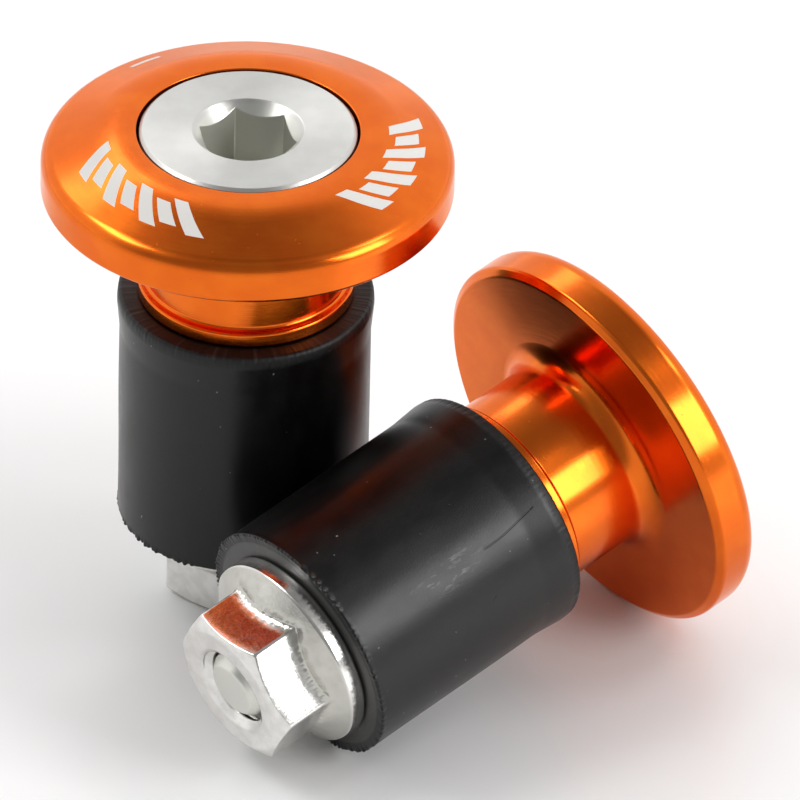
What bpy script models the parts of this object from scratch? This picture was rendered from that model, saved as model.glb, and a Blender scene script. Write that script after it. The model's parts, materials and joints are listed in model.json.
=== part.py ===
"""Bar end grips: a pair of expanding handlebar end plugs.

Each plug is four pieces on one axis. A turned end cap has a flange that covers the end of the bar, a neck
and a collar. A countersunk cap screw passes through it, a rubber bung sits round the screw under the collar,
and a flange nut on the end of the screw squeezes the bung until it grips the inside of the bar.

One plug stands upright on its nut. The other lies beside it, resting on the rim of its flange and on the
end of its bung. Sizes are millimetres, turned into metres where the pieces are made. A level is measured
along a plug's own axis from the flat underside of the flange, positive towards the cap's face.
"""
import math

import bmesh
import bpy
from mathutils import Matrix, Vector

MM = 0.001

# --- fits ------------------------------------------------------------------------------------------------
HEAD_GAP = 0.2           # radial gap between head and recess
SEAT_GAP = 0.08          # gap between the head's cone and its seat, measured along the axis
SHANK_GAP = 0.2          # radial gap round the thick shank
CAP_BORE_GAP = 0.35      # radial gap between the thin shank and the cap's plain hole
BUNG_BORE_GAP = 0.4      # radial gap between the thin shank and the bung
END_GAP = 0.05           # gap at each end of the bung
THREAD_GAP = 0.09        # radial gap between screw and nut, both modelled plain
STEP_GAP = 0.3           # how far the cap's bore goes on below the thick shank
PAIR_GAP = 0.52          # sideways gap between the two bungs

# --- cap screw -------------------------------------------------------------------------------------------
HEAD_R = 7.5
HEAD_LAND = 0.95         # straight edge of the head above its cone
HEAD_EDGE = 0.12         # small chamfer round the top of the head
THREAD_R = 3.0           # outside of the 6 mm thread
SOCKET_ACROSS = 6.0      # hexagon socket across flats
SOCKET_DEPTH = 5.5
SOCKET_MOUTH = 0.36      # how far the mouth's 45 degree countersink goes beyond the hexagon's corners
SOCKET_DRILL = 1.0       # depth of the drilled point below the hexagon
DRILL_INSET = 0.3        # how far inside the hexagon's flats the drilled point starts
DRILL_RISE = 0.05        # how far above the socket's floor the drill's cone begins
SOCKET_WALL = 1.28       # metal between the hexagon's corners and the outside of the thick shank
SHANK_BELOW = 2.5        # how far the thick shank goes on below the hexagon
SHANK_EDGE = 0.3         # chamfer round the end of the thick shank
TIP_CHAMFER = 0.75
TIP_INSET = 0.5          # how far the screw's end lies inside the nut's end face

# --- end cap ---------------------------------------------------------------------------------------------
FLANGE_R = 14.2          # the flange's outside radius
FACE_LEVEL = 5.0         # flat ring round the screw head
BAND_BOTTOM = 0.5        # straight outer band of the flange, lower end
BAND_TALL = 2.35
RIM_ROUND = 0.57         # height of the rounded rim above the band
RIM_INSET = 0.75         # how far in the rounded rim meets the shallow cone
UNDERSIDE_INSET = 0.7    # width of the bevel round the underside
RIM_POINTS = ((1.0, 1.0), (0.4, 0.67), (0.08, 0.35))     # rounded rim, shares of RIM_INSET and RIM_ROUND
FACE_RING = 1.35         # width of the flat ring outside the recess
FACE_EASE = 0.5          # width of the gentle step from that ring into the shallow cone
FACE_EASE_DROP = 0.09    # how far that step falls
RECESS_EDGE = 0.1        # chamfer round the mouth of the recess
NECK_R = 6.95
NECK_FILLET = 1.0        # fillet between flange and neck
COLLAR_OUT = 0.55        # how far the collar stands out from the neck
COLLAR_LEVEL = -7.95     # the collar's lower face, where the bung bears
COLLAR_TALL = 1.05
COLLAR_FILLET = 0.25
COLLAR_EDGE = 0.2        # rounded upper edge of the collar, measured along the axis
COLLAR_EDGE_IN = 0.12    # and across
COLLAR_EDGE_DROP = 0.05  # how far the outermost point of its upper face has fallen
COLLAR_CHAMFER = 0.15    # lower edge of the collar

# --- rubber bung -----------------------------------------------------------------------------------------
BUNG_R = 8.7
BUNG_LENGTH = 18.0
LIP_OUT = 0.25           # the lip nearest the cap is pressed slightly outwards
LIP_DOWN = 0.95          # how far the lip's widest circle lies below the bung's top face
LIP_TALL = 1.9
LIP_EDGE = 0.45          # how far in the lip's round edge starts on the top face
LIP_EDGE_DROP = 0.35     # how far that edge has fallen where it is nearly at full width
LIP_EDGE_LEFT = 0.1      # and how much of the width is left there
BUNG_EDGE = 0.3

# --- flange nut ------------------------------------------------------------------------------------------
NUT_ACROSS = 10.0        # across flats
NUT_HEIGHT = 6.2
NUT_FLANGE_OUT = 1.28    # how far the flange stands out beyond the hexagon's corners
NUT_FLANGE_EDGE = 1.3    # height of the flange's straight edge
NUT_CONE_TOP = 2.6       # height above the bearing face where the flange's cone ends
NUT_CONE_INSET = 0.47    # how far inside the corners it ends
NUT_FACE_INSET = 0.25    # the flat end face's radius, less than half the width across flats by this
NUT_MOUTH = 0.45         # countersink at each end of the threaded hole
NUT_EDGE = 0.15          # chamfer round both edges of the flange
NUT_EDGE_LOW = 0.2       # how far in the flange's cone starts
NUT_ROUND_OFF = 30.0     # degrees, slope of the chamfer that turns the ends of the flats into arcs

# --- how the pair is set down -----------------------------------------------------------------------------
STANDING_NUT_TURN = 25.7     # degrees, a corner of the hexagon from +X
STANDING_SOCKET_TURN = -14.0
LYING_TURN = 40.7            # degrees, heading of the lying plug's cap end
LYING_ALONG = 15.7           # how far along that heading its flange's underside lies
LYING_NUT_TURN = 2.7
LYING_SOCKET_TURN = 10.0

# --- sizes that follow from those above --------------------------------------------------------------------
HEX_CORNER = 1 / math.cos(math.radians(30.0))    # corner radius over half the width across flats
SOCKET_CORNER_R = SOCKET_ACROSS / 2 * HEX_CORNER
SHANK_R = SOCKET_CORNER_R + SOCKET_WALL
SOCKET_FLOOR = FACE_LEVEL - SOCKET_DEPTH
SHANK_END = SOCKET_FLOOR - SHANK_BELOW
COLLAR_R = NECK_R + COLLAR_OUT
BUNG_TOP = COLLAR_LEVEL - END_GAP
BUNG_BOTTOM = BUNG_TOP - BUNG_LENGTH
LIP_R = BUNG_R + LIP_OUT
NUT_BASE = BUNG_BOTTOM - END_GAP
NUT_END = NUT_BASE - NUT_HEIGHT
NUT_CORNER_R = NUT_ACROSS / 2 * HEX_CORNER
NUT_FLANGE_R = NUT_CORNER_R + NUT_FLANGE_OUT
NUT_FACE_R = NUT_ACROSS / 2 - NUT_FACE_INSET
SCREW_TIP = NUT_END + TIP_INSET

# --- faceting --------------------------------------------------------------------------------------------
ROUND = 40
BORE_ROUND = 32
DRILL_ROUND = 24
FILLET_STEPS = 3

# --- cutters ---------------------------------------------------------------------------------------------
CUT_BEYOND = 1.0         # how far a cutter reaches past the face it starts from
MOUTH_CUT = 1.2          # depth of the cone that cuts the socket's mouth


def new_collection(name):
    made = bpy.data.collections.new(name)
    bpy.context.scene.collection.children.link(made)
    return made


def material(name, colour, roughness, metallic):
    """A plain Principled material."""
    mat = bpy.data.materials.new(name)
    mat.use_nodes = True
    shader = mat.node_tree.nodes["Principled BSDF"]
    shader.inputs["Base Color"].default_value = (*colour, 1.0)
    shader.inputs["Roughness"].default_value = roughness
    shader.inputs["Metallic"].default_value = metallic
    return mat


def orange_anodised(name):
    return material(name, (0.80, 0.17, 0.015), 0.28, 1.0)


def satin_steel(name):
    return material(name, (0.68, 0.67, 0.64), 0.30, 1.0)


def black_rubber(name):
    return material(name, (0.012, 0.012, 0.013), 0.62, 0.0)


def bright_zinc(name):
    return material(name, (0.74, 0.74, 0.74), 0.22, 1.0)


def turned(name, profile, collection, closed, segments=ROUND):
    """A turned body: the profile, (radius, level) pairs in millimetres, swept once round Z."""
    mesh = bpy.data.meshes.new(name)
    edges = [(i, i + 1) for i in range(len(profile) - 1)]
    if closed:
        edges.append((len(profile) - 1, 0))
    mesh.from_pydata([(r * MM, 0.0, z * MM) for r, z in profile], edges, [])
    body = bpy.data.objects.new(name, mesh)
    collection.objects.link(body)
    screw = body.modifiers.new("turn", "SCREW")
    screw.axis = "Z"
    screw.angle = math.tau
    screw.steps = segments
    screw.render_steps = segments
    screw.screw_offset = 0.0
    screw.use_merge_vertices = True
    screw.merge_threshold = 1e-6
    screw.use_smooth_shade = True
    return body


def hexagon(name, across, bottom, top, collection):
    """A hexagonal prism with a corner on +X, between two levels."""
    mesh = bpy.data.meshes.new(name)
    bm = bmesh.new()
    corner = across / 2 * HEX_CORNER * MM
    tall = (top - bottom) * MM
    made = bmesh.ops.create_cone(bm, cap_ends=True, segments=6, radius1=corner, radius2=corner, depth=tall)
    first = min(made["verts"], key=lambda v: abs(math.atan2(v.co.y, v.co.x)))
    lead = math.atan2(first.co.y, first.co.x)
    bmesh.ops.rotate(bm, verts=bm.verts, matrix=Matrix.Rotation(-lead, 3, "Z"))
    bmesh.ops.translate(bm, verts=bm.verts, vec=Vector((0.0, 0.0, bottom * MM + tall / 2)))
    bm.to_mesh(mesh)
    bm.free()
    body = bpy.data.objects.new(name, mesh)
    collection.objects.link(body)
    return body


def as_cutter(body):
    body.hide_render = True
    body.display_type = "WIRE"
    return body


def boolean(body, other, operation, name):
    mod = body.modifiers.new(name, "BOOLEAN")
    mod.operation = operation
    mod.solver = "EXACT"
    mod.object = other
    return mod


def arc(centre, radius, start, stop, steps):
    """Points on an arc in the (radius, level) plane; angles in degrees from the outward direction."""
    points = []
    for i in range(steps + 1):
        a = math.radians(start + (stop - start) * i / steps)
        points.append((centre[0] + radius * math.cos(a), centre[1] + radius * math.sin(a)))
    return points


def end_cap(name, collection):
    """The turned cap: flange with a shallow cone face, neck, collar, and a stepped, countersunk bore."""
    recess_r = HEAD_R + HEAD_GAP
    ring_r = recess_r + FACE_RING
    seat_level = FACE_LEVEL - HEAD_LAND - SEAT_GAP
    bore_r = SHANK_R + SHANK_GAP
    step_level = SHANK_END - STEP_GAP
    hole_r = THREAD_R + CAP_BORE_GAP
    band_top = BAND_BOTTOM + BAND_TALL
    profile = [(recess_r, FACE_LEVEL - RECESS_EDGE), (recess_r + RECESS_EDGE, FACE_LEVEL)]
    profile += [(ring_r, FACE_LEVEL), (ring_r + FACE_EASE, FACE_LEVEL - FACE_EASE_DROP)]
    profile += [(FLANGE_R - across * RIM_INSET, band_top + up * RIM_ROUND) for across, up in RIM_POINTS]
    profile += [(FLANGE_R, band_top), (FLANGE_R, BAND_BOTTOM), (FLANGE_R - UNDERSIDE_INSET, 0.0)]
    profile += arc((NECK_R + NECK_FILLET, -NECK_FILLET), NECK_FILLET, 90.0, 180.0, FILLET_STEPS)
    shoulder = COLLAR_LEVEL + COLLAR_TALL
    profile += [(NECK_R, shoulder + COLLAR_FILLET), (NECK_R + COLLAR_FILLET, shoulder)]
    profile += [(COLLAR_R - COLLAR_EDGE_IN, shoulder - COLLAR_EDGE_DROP), (COLLAR_R, shoulder - COLLAR_EDGE)]
    profile += [(COLLAR_R, COLLAR_LEVEL + COLLAR_CHAMFER), (COLLAR_R - COLLAR_CHAMFER, COLLAR_LEVEL)]
    profile += [(hole_r, COLLAR_LEVEL), (hole_r, step_level), (bore_r, step_level)]
    profile += [(bore_r, seat_level - (recess_r - bore_r)), (recess_r, seat_level)]
    body = turned(name, profile, collection, closed=True)
    body.data.materials.append(orange_anodised(name + "_finish"))
    return body


def cap_screw(name, collection, cutters):
    """The countersunk screw: flat head, thick shank round the hexagon socket, thin threaded shank."""
    cone_top = FACE_LEVEL - HEAD_LAND
    profile = [(0.0, FACE_LEVEL), (HEAD_R - HEAD_EDGE, FACE_LEVEL), (HEAD_R, FACE_LEVEL - HEAD_EDGE)]
    profile += [(HEAD_R, cone_top), (SHANK_R, cone_top - (HEAD_R - SHANK_R))]
    profile += [(SHANK_R, SHANK_END + SHANK_EDGE), (SHANK_R - SHANK_EDGE, SHANK_END), (THREAD_R, SHANK_END)]
    profile += [(THREAD_R, SCREW_TIP + TIP_CHAMFER), (THREAD_R - TIP_CHAMFER, SCREW_TIP), (0.0, SCREW_TIP)]
    body = turned(name, profile, collection, closed=False)
    above = FACE_LEVEL + CUT_BEYOND
    socket = as_cutter(hexagon(name + "_socket", SOCKET_ACROSS, SOCKET_FLOOR, above, cutters))
    mouth_r = SOCKET_CORNER_R + SOCKET_MOUTH
    below = FACE_LEVEL - MOUTH_CUT
    mouth_profile = [(0.0, above), (mouth_r + CUT_BEYOND, above), (mouth_r - MOUTH_CUT, below), (0.0, below)]
    mouth = as_cutter(turned(name + "_mouth", mouth_profile, cutters, closed=False))
    drill_top = SOCKET_FLOOR + DRILL_RISE
    drill_r = (SOCKET_ACROSS / 2 - DRILL_INSET) * (1 + DRILL_RISE / SOCKET_DRILL)
    drill_profile = [(0.0, drill_top), (drill_r, drill_top), (0.0, SOCKET_FLOOR - SOCKET_DRILL)]
    drill = as_cutter(turned(name + "_drill", drill_profile, cutters, closed=False, segments=DRILL_ROUND))
    for cutter, label in ((mouth, "mouth"), (socket, "socket"), (drill, "drill")):
        boolean(body, cutter, "DIFFERENCE", label)
    body.data.materials.append(satin_steel(name + "_finish"))
    return body, (socket, mouth, drill)


def rubber_bung(name, collection):
    """The bung: a thick rubber tube with a slightly spread lip at the cap end."""
    bore_r = THREAD_R + BUNG_BORE_GAP
    profile = [(bore_r, BUNG_TOP), (LIP_R - LIP_EDGE, BUNG_TOP)]
    profile += [(LIP_R - LIP_EDGE_LEFT, BUNG_TOP - LIP_EDGE_DROP)]
    profile += [(LIP_R, BUNG_TOP - LIP_DOWN), (BUNG_R, BUNG_TOP - LIP_TALL)]
    profile += [(BUNG_R, BUNG_BOTTOM + BUNG_EDGE), (BUNG_R - BUNG_EDGE, BUNG_BOTTOM), (bore_r, BUNG_BOTTOM)]
    body = turned(name, profile, collection, closed=True)
    body.data.materials.append(black_rubber(name + "_finish"))
    return body


def flange_nut(name, collection, cutters):
    """The hexagon nut with its coned flange, bearing face up, made from its bearing face downwards."""
    flange = [(0.0, NUT_BASE), (NUT_FLANGE_R - NUT_EDGE, NUT_BASE), (NUT_FLANGE_R, NUT_BASE - NUT_EDGE)]
    flange += [(NUT_FLANGE_R, NUT_BASE - NUT_FLANGE_EDGE + NUT_EDGE)]
    flange += [(NUT_FLANGE_R - NUT_EDGE_LOW, NUT_BASE - NUT_FLANGE_EDGE)]
    flange += [(NUT_CORNER_R - NUT_CONE_INSET, NUT_BASE - NUT_CONE_TOP), (0.0, NUT_BASE - NUT_CONE_TOP)]
    body = turned(name, flange, collection, closed=False)
    reach = NUT_CORNER_R + CUT_BEYOND
    rise = (reach - NUT_FACE_R) * math.tan(math.radians(NUT_ROUND_OFF))
    root = NUT_BASE - NUT_FLANGE_EDGE / 2
    top = NUT_BASE + CUT_BEYOND
    round_off = [(0.0, top), (reach, top), (reach, NUT_END + rise), (NUT_FACE_R, NUT_END), (0.0, NUT_END)]
    trim = as_cutter(turned(name + "_round", round_off, cutters, closed=False))
    below = NUT_END - CUT_BEYOND
    hexa = as_cutter(hexagon(name + "_hexagon", NUT_ACROSS, below, root, cutters))
    boolean(hexa, trim, "INTERSECT", "round_off")
    boolean(body, hexa, "UNION", "hexagon")
    bore_r = THREAD_R + THREAD_GAP
    wide = bore_r + NUT_MOUTH + CUT_BEYOND
    bore = [(0.0, top), (wide, top), (bore_r, NUT_BASE - NUT_MOUTH), (bore_r, NUT_END + NUT_MOUTH)]
    bore += [(wide, below), (0.0, below)]
    hole = as_cutter(turned(name + "_hole", bore, cutters, closed=False, segments=BORE_ROUND))
    boolean(body, hole, "DIFFERENCE", "hole")
    body.data.materials.append(bright_zinc(name + "_finish"))
    return body, (trim, hexa, hole)


def plug(prefix, nut_turn, socket_turn, collection, cutters, pair):
    """One plug on its own empty. Every piece's origin is on the plug's axis."""
    axis = bpy.data.objects.new(prefix + "_axis", None)
    collection.objects.link(axis)
    axis.parent = pair
    cap = end_cap(prefix + "_end_cap", collection)
    bung = rubber_bung(prefix + "_rubber_bung", collection)
    screw, screw_cutters = cap_screw(prefix + "_cap_screw", collection, cutters)
    nut, nut_cutters = flange_nut(prefix + "_flange_nut", collection, cutters)
    for piece in (cap, bung, screw, nut):
        piece.parent = axis
    for cutter in screw_cutters:
        cutter.parent = screw
    for cutter in nut_cutters:
        cutter.parent = nut
    screw.rotation_euler = (0.0, 0.0, math.radians(socket_turn))
    nut.rotation_euler = (0.0, 0.0, math.radians(nut_turn))
    return axis, (cap, bung, screw, nut)


def lying_matrix():
    """Where the lying plug rests: touching the floor with its flange's lower edge and its bung's end edge."""
    bung_level = BUNG_BOTTOM + BUNG_EDGE
    tilt = math.atan2(FLANGE_R - BUNG_R, BAND_BOTTOM - bung_level)
    height = FLANGE_R * math.cos(tilt) - BAND_BOTTOM * math.sin(tilt)
    heading = math.radians(LYING_TURN)
    ahead = Vector((math.cos(heading), math.sin(heading), 0.0))
    side = Vector((math.sin(heading), -math.cos(heading), 0.0))
    up = Vector((0.0, 0.0, 1.0))
    along = ahead * math.cos(tilt) + up * math.sin(tilt)
    turn = Matrix((side, along.cross(side), along)).transposed().to_4x4()
    place = side * (2 * BUNG_R + PAIR_GAP) + ahead * LYING_ALONG + up * height
    return Matrix.Translation(place * MM) @ turn


def pair_bounds(pieces):
    """Lowest and highest corner of the finished pieces."""
    graph = bpy.context.evaluated_depsgraph_get()
    points = []
    for piece in pieces:
        done = piece.evaluated_get(graph)
        points += [done.matrix_world @ v.co for v in done.data.vertices]
    low = Vector([min(p[i] for p in points) for i in range(3)])
    high = Vector([max(p[i] for p in points) for i in range(3)])
    return low, high


def main():
    for old in list(bpy.data.objects):
        bpy.data.objects.remove(old, do_unlink=True)
    collection = new_collection("bar_end_grips")
    cutters = new_collection("cutters")
    pair = bpy.data.objects.new("pair", None)
    collection.objects.link(pair)
    upright, pieces = plug("standing", STANDING_NUT_TURN, STANDING_SOCKET_TURN, collection, cutters, pair)
    upright.location = (0.0, 0.0, -NUT_END * MM)
    lying, more = plug("lying", LYING_NUT_TURN, LYING_SOCKET_TURN, collection, cutters, pair)
    lying.matrix_local = lying_matrix()
    low, high = pair_bounds(pieces + more)
    pair.location = (-(low.x + high.x) / 2, -(low.y + high.y) / 2, -low.z)


main()
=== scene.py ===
# %% [markdown]
# # Bar end grips
#
# This script dresses a pair of expanding handlebar end plugs. The packed model gives eight solids with
# the right sizes, places and joints, but their round faces are made of flats. Here each piece is worked
# out again as a smooth surface with its small radii, thread and moulding marks, and gets a finish of its
# own.
#
# Every piece is a surface of two numbers: an angle round the plug's axis and a place along an outline.
# numpy works out the whole grid at once, so a shape can be read as a formula.

import json
import math

import bpy
import numpy as np
from mathutils import Matrix, Vector


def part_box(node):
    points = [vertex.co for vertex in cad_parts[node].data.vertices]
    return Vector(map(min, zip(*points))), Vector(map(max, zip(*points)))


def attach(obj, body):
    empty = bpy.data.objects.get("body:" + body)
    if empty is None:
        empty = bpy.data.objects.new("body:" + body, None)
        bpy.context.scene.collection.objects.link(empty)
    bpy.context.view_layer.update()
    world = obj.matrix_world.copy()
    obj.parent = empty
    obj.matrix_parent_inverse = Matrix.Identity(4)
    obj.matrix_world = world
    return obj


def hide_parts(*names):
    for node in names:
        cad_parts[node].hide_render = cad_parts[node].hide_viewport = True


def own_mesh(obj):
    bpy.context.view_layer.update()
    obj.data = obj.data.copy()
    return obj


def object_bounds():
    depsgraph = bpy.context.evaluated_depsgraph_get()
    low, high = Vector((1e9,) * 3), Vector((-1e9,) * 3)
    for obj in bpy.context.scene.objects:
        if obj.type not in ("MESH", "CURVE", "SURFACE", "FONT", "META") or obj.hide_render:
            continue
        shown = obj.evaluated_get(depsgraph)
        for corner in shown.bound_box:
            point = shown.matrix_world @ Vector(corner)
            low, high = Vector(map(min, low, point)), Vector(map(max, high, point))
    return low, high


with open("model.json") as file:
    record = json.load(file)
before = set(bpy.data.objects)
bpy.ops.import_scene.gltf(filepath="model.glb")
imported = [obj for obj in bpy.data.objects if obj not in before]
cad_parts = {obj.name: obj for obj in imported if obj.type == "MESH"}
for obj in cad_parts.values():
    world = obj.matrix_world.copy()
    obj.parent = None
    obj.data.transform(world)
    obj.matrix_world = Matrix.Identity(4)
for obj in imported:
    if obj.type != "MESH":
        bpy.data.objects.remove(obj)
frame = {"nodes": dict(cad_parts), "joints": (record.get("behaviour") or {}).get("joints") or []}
cad_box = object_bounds()
print("nodes:", sorted(frame["nodes"]))

# %% [markdown]
# ## Where the two plugs are
#
# A screw's joint lies on its plug's axis at the flat underside of the flange, so the joint's point and
# direction place the whole plug. The lying plug also needs to know which way it is turned round that
# axis: its sideways direction is the one in which it can be drawn away.

# %% Find each plug's place
MM = 0.001
joints = {joint["name"]: joint for joint in frame["joints"]}


def plug_place(prefix, side):
    """A plug's origin, and its sideways, across and along directions as columns. Along is headwards."""
    turn = joints[prefix + "_screw_turn"]
    along = -np.array(turn["axis"], float)
    along /= np.linalg.norm(along)
    side = np.array(side, float)
    side -= along * side.dot(along)
    side /= np.linalg.norm(side)
    return np.array(turn["pos_m"], float), np.column_stack([side, np.cross(along, side), along])


places = {
    "standing": plug_place("standing", (1.0, 0.0, 0.0)),
    "lying": plug_place("lying", joints["lying_plug_move"]["axis"]),
}
for prefix, (origin, turn) in places.items():
    print(prefix, "origin", origin.round(5), "along", turn[:, 2].round(4))

# %% [markdown]
# ## Sizes
#
# The standing plug's axis is upright, so the boxes of its nodes give radii and levels directly. Typing
# the numbers in again would work too, but then a change to the model would leave the skins behind. A
# level is a height along the axis from the flange's underside, in millimetres. What the boxes can't tell,
# such as the neck's radius, is named here once.

# %% Read sizes from the standing plug
def radius_and_levels(node):
    """Half the width, highest level and lowest level of a standing node, in millimetres."""
    low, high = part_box(node)
    base = places["standing"][0][2]
    return (high.x - low.x) / 2 / MM, (high.z - base) / MM, (low.z - base) / MM


FLANGE_R, FACE_LEVEL, COLLAR_LEVEL = radius_and_levels("standing_end_cap")
LIP_R, BUNG_TOP, BUNG_BOTTOM = radius_and_levels("standing_rubber_bung")
NUT_FLANGE_R, NUT_BASE, NUT_END = radius_and_levels("standing_flange_nut")
HEAD_R, _, SCREW_TIP = radius_and_levels("standing_cap_screw")
NUT_TRAVEL = joints["standing_nut_travel"]["range_m"][1] / MM

NECK_R = 6.95
COLLAR_R = 7.5
BUNG_R = 8.7
NUT_ACROSS = 10.0
SOCKET_ACROSS = 6.0
THREAD_R = 3.0
PITCH = 1.0
HEAD_GAP = 0.2      # between the screw's head and the cap's recess
print("flange", round(FLANGE_R, 2), "bung", round(LIP_R, 2), "nut end", round(NUT_END, 2))

# %% [markdown]
# ## Outlines with small radii
#
# Machined edges are never quite sharp, and the thin bright line along a small radius is what makes metal
# look like metal. A Bevel modifier could round them, but it gives one width to every edge. So an outline
# is given as corners, each with its own radius, and true arcs round them. An extra point beside each end
# of an arc keeps the shading of the flat stretches flat.

# %% Round the corners of an outline
ARC_STEPS = 6
EDGE_KEEP = 0.03     # mm between the end of an arc and the extra point beside it


def rounded_outline(corners, closed):
    """Corners (radius, level, fillet) become points: at each corner the fillet's arc touches both straight
    stretches at fillet * tan(turn / 2) from the corner, and its points are spaced evenly in angle."""
    flat = np.array([corner[:2] for corner in corners], float)
    points = []
    for i, (r, z, fillet) in enumerate(corners):
        here = flat[i]
        if fillet <= 0 or (not closed and i in (0, len(corners) - 1)):
            points.append(here[None])
            continue
        before, after = flat[i - 1], flat[(i + 1) % len(flat)]
        a = (before - here) / np.linalg.norm(before - here)
        b = (after - here) / np.linalg.norm(after - here)
        half = math.acos(np.clip(a.dot(b), -1, 1)) / 2
        reach = fillet / math.tan(half)
        centre = here + (a + b) / np.linalg.norm(a + b) * fillet / math.sin(half)
        start, stop = here + a * reach - centre, here + b * reach - centre
        sweep = math.pi - 2 * half
        t = np.linspace(0, 1, ARC_STEPS + 1)[:, None]
        arc = (np.sin((1 - t) * sweep) * start + np.sin(t * sweep) * stop) / math.sin(sweep) + centre
        points += [here[None] + a * (reach + EDGE_KEEP), arc, here[None] + b * (reach + EDGE_KEEP)]
    return np.vstack(points)


print("a rounded corner has", ARC_STEPS + 3, "points")

# %% [markdown]
# ## From a grid of points to a closed skin
#
# A turned or hexagonal piece is a stack of rings. A Screw modifier could turn the round ones, but not
# those that change from a circle to a hexagon or a thread, so all of them are built one way: each ring
# joins the next with a band of four-sided faces. A piece with a hole through it is a tube whose last ring
# joins the first. A piece without one is closed at both ends by a fan of triangles round a point on the
# axis. The skin's own volume tells whether the faces point outwards, and they are turned round if they
# don't.

# %% Build a skin
def even_angles(count):
    """count angles spaced evenly round one turn."""
    return np.linspace(0, math.tau, count, endpoint=False)


def rings_from(radius, level, angle):
    """Rings in millimetres: (radius cos angle, radius sin angle, level), with arrays stretched to fit."""
    radius, level, angle = np.broadcast_arrays(radius, level, angle[None, :])
    return np.stack([radius * np.cos(angle), radius * np.sin(angle), level], axis=-1)


def signed_volume(points, triangles):
    """Sum of a . (b x c) / 6 over the triangles: the volume inside, negative if the faces point inwards."""
    a, b, c = (points[triangles[:, k]] for k in range(3))
    return np.einsum("ij,ij->i", a, np.cross(b, c)).sum() / 6


def skin(name, rings, closed, prefix):
    """A mesh object from rings (rows, columns, 3) in a plug's own millimetres, placed in the frame."""
    rows, columns, _ = rings.shape
    points = rings.reshape(-1, 3)
    i, j = np.meshgrid(np.arange(rows if closed else rows - 1), np.arange(columns), indexing="ij")
    below, beside = (i + 1) % rows, (j + 1) % columns
    this, next_one = i * columns, below * columns
    quads = np.stack([this + j, this + beside, next_one + beside, next_one + j], -1).reshape(-1, 4)
    fans = np.zeros((0, 3), int)
    if not closed:
        top, bottom = len(points), len(points) + 1
        points = np.vstack([points, rings[0].mean(0), rings[-1].mean(0)])
        k = np.arange(columns)
        after = (k + 1) % columns
        last = (rows - 1) * columns
        fans = np.vstack([
            np.stack([np.full(columns, top), after, k], -1),
            np.stack([np.full(columns, bottom), last + k, last + after], -1),
        ])
    origin, turn = places[prefix]
    points = origin + (points * MM) @ turn.T
    points[:, 2] = np.maximum(points[:, 2], 0.0)
    triangles = np.vstack([quads[:, [0, 1, 2]], quads[:, [0, 2, 3]], fans])
    if signed_volume(points - origin, triangles) < 0:
        quads, fans = quads[:, ::-1], fans[:, ::-1]
    mesh = bpy.data.meshes.new(name)
    corners = np.concatenate([quads.ravel(), fans.ravel()]).astype(np.int32)
    sizes = np.concatenate([np.full(len(quads), 4), np.full(len(fans), 3)])
    starts = np.concatenate([[0], np.cumsum(sizes)[:-1]]).astype(np.int32)
    mesh.vertices.add(len(points))
    mesh.vertices.foreach_set("co", points.astype(np.float32).ravel())
    mesh.loops.add(len(corners))
    mesh.loops.foreach_set("vertex_index", corners)
    mesh.polygons.add(len(sizes))
    mesh.polygons.foreach_set("loop_start", starts)
    mesh.polygons.foreach_set("use_smooth", np.ones(len(sizes), bool))
    mesh.update(calc_edges=True)
    mesh.validate()
    piece = bpy.data.objects.new(name, mesh)
    bpy.context.scene.collection.objects.link(piece)
    volume = abs(signed_volume(points - origin, triangles)) / MM**3
    print(name, len(sizes), "faces", round(volume, 1), "mm3")
    return piece


class Stack:
    """Rings gathered one by one. A ring's radius and level are each a number or a function of the angle."""

    def __init__(self, angle):
        self.angle, self.radii, self.levels = angle, [], []

    def ring(self, radius, level):
        self.radii.append(radius * np.ones_like(self.angle))
        self.levels.append(level * np.ones_like(self.angle))

    def skin(self, name, closed, prefix):
        rings = rings_from(np.array(self.radii), np.array(self.levels), self.angle)
        return skin(name, rings, closed, prefix)


# %% [markdown]
# ## Hexagons
#
# The nut's outside and the screw's socket are hexagons with slightly rounded corners. They could be cut
# with booleans, but the cut edges would shade badly. Seen from the axis, a hexagon is a radius that
# depends on the angle, so it can be one ring of a skin that is round elsewhere. More angles are spent
# near the corners, where the radius bends.

# %% Describe a hexagon by angle
SIXTH = math.pi / 3
BESIDE = 1.35         # the last point beside a corner, as a share of its spread
FLAT_START = 1.4      # where the even steps along a flat begin, as a share of the same spread


def hexagon_angles(corner_angle, spread, flat_steps):
    """Angles for one turn, six corners from corner_angle on: close together within spread of each corner,
    and flat_steps even steps along each flat."""
    near = np.linspace(-spread, spread, 9)
    beside = np.array([-BESIDE, BESIDE]) * spread
    flat = SIXTH - 2 * FLAT_START * spread
    far = np.linspace(-0.5, 0.5, flat_steps + 1)[1:-1] * flat + SIXTH / 2
    one = np.sort(np.concatenate([near, beside, far]))
    turns = corner_angle + np.arange(6)[:, None] * SIXTH
    return (turns + one[None, :]).ravel()


def hexagon_radius(angle, corner_angle, across, rounding):
    """Distance from the axis to the hexagon's edge: across / 2 / cos(angle from the flat's middle) along a
    flat, and the far side of a small circle of radius rounding at each corner."""
    off = np.abs((angle - corner_angle + SIXTH / 2) % SIXTH - SIXTH / 2)
    flat = across / 2 / np.cos(SIXTH / 2 - off)
    centre = (across / 2 - rounding) / math.cos(SIXTH / 2)
    touch = math.atan2(rounding / 2, centre + rounding * math.cos(SIXTH / 2))
    inside = np.maximum(rounding**2 - (centre * np.sin(off)) ** 2, 0)
    corner = centre * np.cos(off) + np.sqrt(inside)
    return np.where(off < touch, corner, flat)


print("a sharp corner of the nut would lie", round(NUT_ACROSS / 2 / math.cos(SIXTH / 2), 2), "mm out")

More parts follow.
